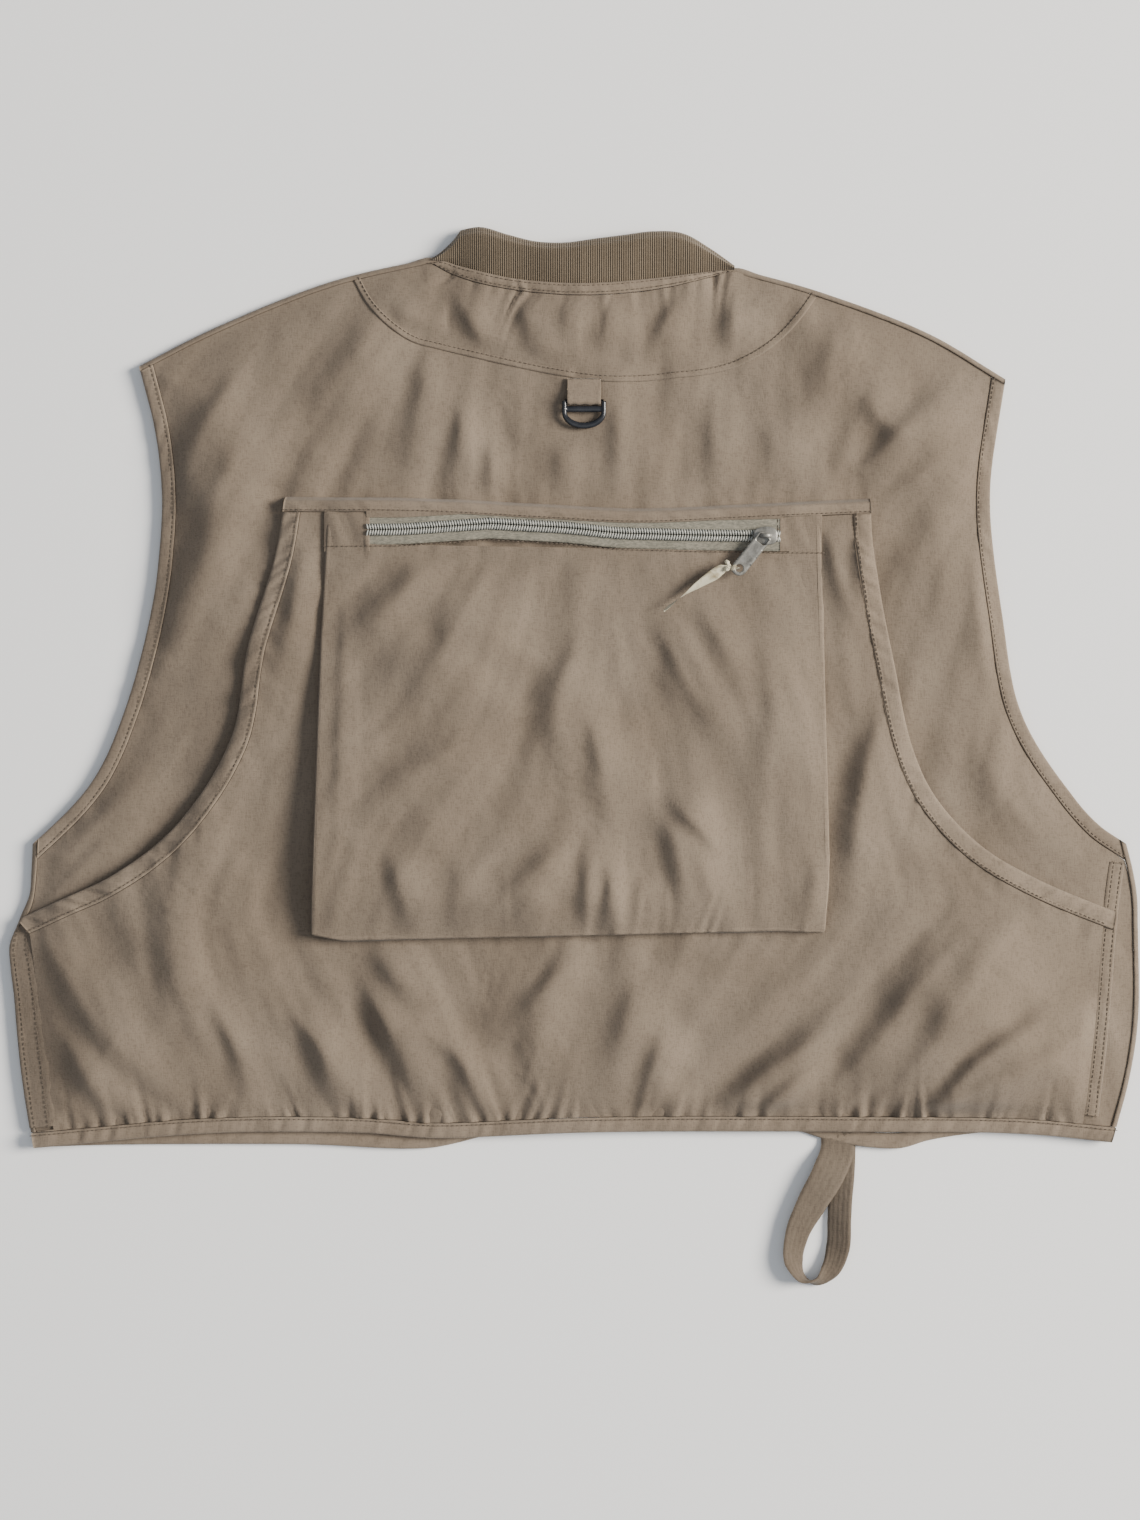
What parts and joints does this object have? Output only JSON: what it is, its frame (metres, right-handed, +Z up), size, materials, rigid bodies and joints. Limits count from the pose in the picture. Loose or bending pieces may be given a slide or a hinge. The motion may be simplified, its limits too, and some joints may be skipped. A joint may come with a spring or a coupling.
{
  "type": "fishing vest",
  "caption": "Short tan fishing vest laid flat on its front, with a rib collar, a rear pouch, a zipped bellows pocket, a D-ring and a strap loop.",
  "frame": {"origin": "middle of the bounding box, on the floor that the vest lies on", "axes": "+Z up out of the vest's back, +Y towards the collar, +X towards the wearer's right side"},
  "size_m": [0.6398, 0.5996, 0.036],
  "materials": {
    "cloth": "matte",
    "binding": "matte",
    "rib_knit": "matte",
    "zip_tape": "matte",
    "zip_coil": "satin",
    "zip_metal": "satin",
    "ring_plastic": "gloss",
    "ribbon": "satin"
  },
  "bodies": {
    "vest": {"back_panel": "cloth", "back_yoke": "cloth", "cargo_panel": "cloth", "cargo_pocket_face": "cloth", "cargo_pocket_gusset": "cloth", "pocket_zip_end_left": "cloth", "pocket_zip_end_right": "cloth", "ring_tab": "cloth", "front_panel_left": "cloth", "front_panel_right": "cloth", "chest_pocket_left": "cloth", "chest_gusset_left": "cloth", "chest_pocket_right": "cloth", "chest_gusset_right": "cloth", "lower_pocket_left": "cloth", "lower_gusset_left": "cloth", "lower_pocket_right": "cloth", "lower_gusset_right": "cloth", "neck_binding": "binding", "armhole_band_back_left": "binding", "armhole_band_back_right": "binding", "armhole_band_front_left": "binding", "armhole_band_front_right": "binding", "hem_binding_back": "binding", "hem_binding_front_left": "binding", "hem_binding_front_right": "binding", "shoulder_seam_left": "binding", "shoulder_seam_right": "binding", "side_seam_left": "binding", "side_seam_right": "binding", "cargo_binding_top": "binding", "cargo_binding_left": "binding", "cargo_binding_right": "binding", "side_strip_left": "binding", "side_strip_right": "binding", "collar_back": "rib_knit", "collar_front_left": "rib_knit", "collar_front_right": "rib_knit", "pocket_tape_upper": "zip_tape", "pocket_tape_lower": "zip_tape", "front_tape_left": "zip_tape", "front_tape_right": "zip_tape", "pocket_coil_upper": "zip_coil", "pocket_coil_lower": "zip_coil", "front_coil_left": "zip_coil", "front_coil_right": "zip_coil", "front_zip_box": "zip_metal"},
    "pocket_slide": {"pocket_slider": "zip_metal"},
    "pocket_pull_tab": {"pocket_pull": "zip_metal", "pull_ribbon": "ribbon"},
    "ring": {"d_ring": "ring_plastic"},
    "front_slide": {"front_slider": "zip_metal"},
    "front_pull_tab": {"front_pull": "zip_metal"},
    "strap_loop": {"rod_loop": "binding"},
    "flap_chest_left": {"chest_flap_left": "cloth"},
    "flap_chest_right": {"chest_flap_right": "cloth"},
    "flap_lower_left": {"lower_flap_left": "cloth"},
    "flap_lower_right": {"lower_flap_right": "cloth"}
  },
  "joints": [
    {"name": "pocket_zip_slide", "type": "slide", "parent": "vest", "child": "pocket_slide", "axis": [-0.9998, 0.0185, 0], "range_m": [0, 0.2154]},
    {"name": "pocket_pull_swing", "type": "hinge", "parent": "pocket_slide", "child": "pocket_pull_tab", "pos_m": [0.10697, 0.12473, 0.0302], "axis": [-0.7771, 0.6293, 0], "range_deg": [0, 150]},
    {"name": "d_ring_swing", "type": "hinge", "parent": "vest", "child": "ring", "pos_m": [0.00517, 0.20118, 0.0185], "axis": [-1, 0, 0], "range_deg": [0, 110]},
    {"name": "front_zip_slide", "type": "slide", "parent": "vest", "child": "front_slide", "axis": [0, -1, 0], "range_m": [0, 0.362]},
    {"name": "front_pull_swing", "type": "hinge", "parent": "front_slide", "child": "front_pull_tab", "pos_m": [-0.00043, 0.17748, 0.0034], "axis": [1, 0, 0], "range_deg": [0, 150]},
    {"name": "strap_loop_swing", "type": "hinge", "parent": "vest", "child": "strap_loop", "pos_m": [0.14757, -0.22172, 0.0086], "axis": [-1, 0, 0], "range_deg": [0, 115]},
    {"name": "chest_flap_left_swing", "type": "hinge", "parent": "vest", "child": "flap_chest_left", "pos_m": [-0.10243, 0.15658, 0.0071], "axis": [1, 0, 0], "range_deg": [0, 160]},
    {"name": "chest_flap_right_swing", "type": "hinge", "parent": "vest", "child": "flap_chest_right", "pos_m": [0.10157, 0.15658, 0.0071], "axis": [1, 0, 0], "range_deg": [0, 160]},
    {"name": "lower_flap_left_swing", "type": "hinge", "parent": "vest", "child": "flap_lower_left", "pos_m": [-0.12843, -0.05542, 0.0071], "axis": [1, 0, 0], "range_deg": [0, 160]},
    {"name": "lower_flap_right_swing", "type": "hinge", "parent": "vest", "child": "flap_lower_right", "pos_m": [0.12757, -0.05542, 0.0071], "axis": [1, 0, 0], "range_deg": [0, 160]}
  ]
}
